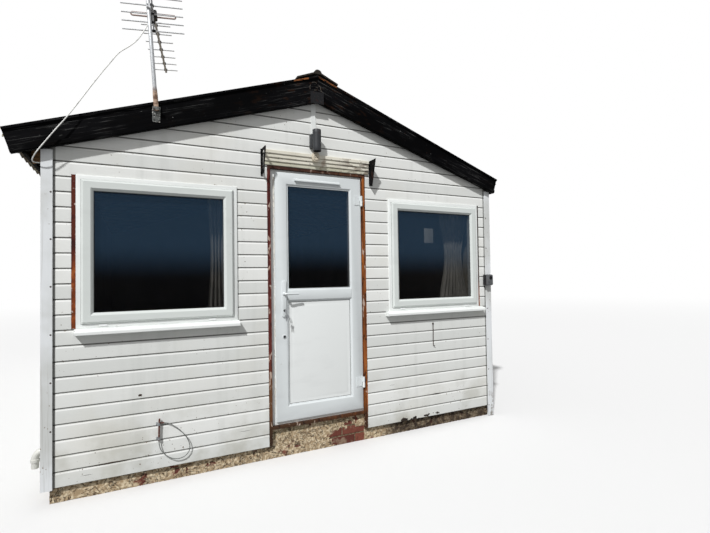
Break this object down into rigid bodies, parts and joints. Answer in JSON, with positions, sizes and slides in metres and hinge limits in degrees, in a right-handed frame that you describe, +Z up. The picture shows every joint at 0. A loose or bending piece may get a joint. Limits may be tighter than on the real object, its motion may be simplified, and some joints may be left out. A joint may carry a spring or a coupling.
{
  "type": "holiday chalet",
  "caption": "Small gable-fronted timber holiday chalet with boarded walls, white windows, a half-glazed door that opens outward, black bargeboards and a corrugated roof.",
  "frame": {"origin": "on the ground in the middle of the front wall, on the underside of the front plinth", "axes": "+Z up, -Y out of the front, +X to the right when facing the front"},
  "size_m": [3.9992, 6.179, 3.4128],
  "materials": {
    "white_boards": "weathered white paint on boards",
    "masonry": "crumbling rendered brickwork",
    "floor_boards": "bare boards",
    "wall_lining": "painted lining on studs",
    "bare_timber": "stained red-brown, weathered",
    "roof_timber": "sawn softwood",
    "black_boards": "tarred, weathered and flaking",
    "roof_sheet": "lichened corrugated cement sheet",
    "white_plastic": "smooth extruded frame",
    "glazing": "dark sealed glazing",
    "handle_enamel": "white enamel",
    "black_iron": "black paint over rusting iron",
    "grey_housing": "dark grey powder coat",
    "galvanised": "galvanised, rust at the foot",
    "aerial_rods": "dull drawn rod",
    "rusty_iron": "rusted",
    "white_cable": "weathered cable sheath",
    "grey_cable": "weathered cable sheath"
  },
  "bodies": {
    "chalet": {"aerial": "aerial_rods", "aerial_cable": "white_cable", "aerial_mast": "galvanised", "apex_plate": "black_boards", "back_bargeboards": "black_boards", "back_cladding": "white_boards", "back_wall": "wall_lining", "cable_hook": "rusty_iron", "cable_loop": "grey_cable", "canopy_battens": "white_boards", "canopy_brackets": "black_iron", "corner_boards": "white_boards", "door_frame": "white_plastic", "door_hook": "rusty_iron", "door_lining": "bare_timber", "eaves_fascias": "black_boards", "floor": "floor_boards", "front_bargeboards": "black_boards", "front_cladding": "white_boards", "front_gable_wall": "wall_lining", "front_wall_left": "wall_lining", "front_wall_right": "wall_lining", "hinge_brackets": "white_plastic", "left_cladding": "white_boards", "left_wall": "wall_lining", "left_window_frame": "white_plastic", "left_window_sash": "white_plastic", "light_trunking": "white_plastic", "mast_bracket": "galvanised", "plinth_back": "masonry", "plinth_front": "masonry", "plinth_sides": "masonry", "purlins": "roof_timber", "rafters": "roof_timber", "ridge_board": "roof_timber", "ridge_cap": "roof_sheet", "right_cladding": "white_boards", "right_wall": "wall_lining", "right_window_frame": "white_plastic", "right_window_sash": "white_plastic", "roof_left": "roof_sheet", "roof_right": "roof_sheet", "wall_camera": "grey_housing", "wall_light": "grey_housing", "waste_elbow": "white_plastic", "window_glass": "glazing", "window_side_strips": "bare_timber", "window_sills": "white_plastic"},
    "door": {"door_leaf": "white_plastic", "door_glass": "glazing", "door_panel": "white_plastic", "door_handle": "handle_enamel", "door_hinges": "white_plastic", "door_vent": "white_plastic"}
  },
  "joints": [
    {"name": "door_hinge", "type": "hinge", "parent": "chalet", "child": "door", "pos_m": [0.404, -0.0753, 1.27], "axis": [0, 0, 1], "range_deg": [0, 120]}
  ]
}
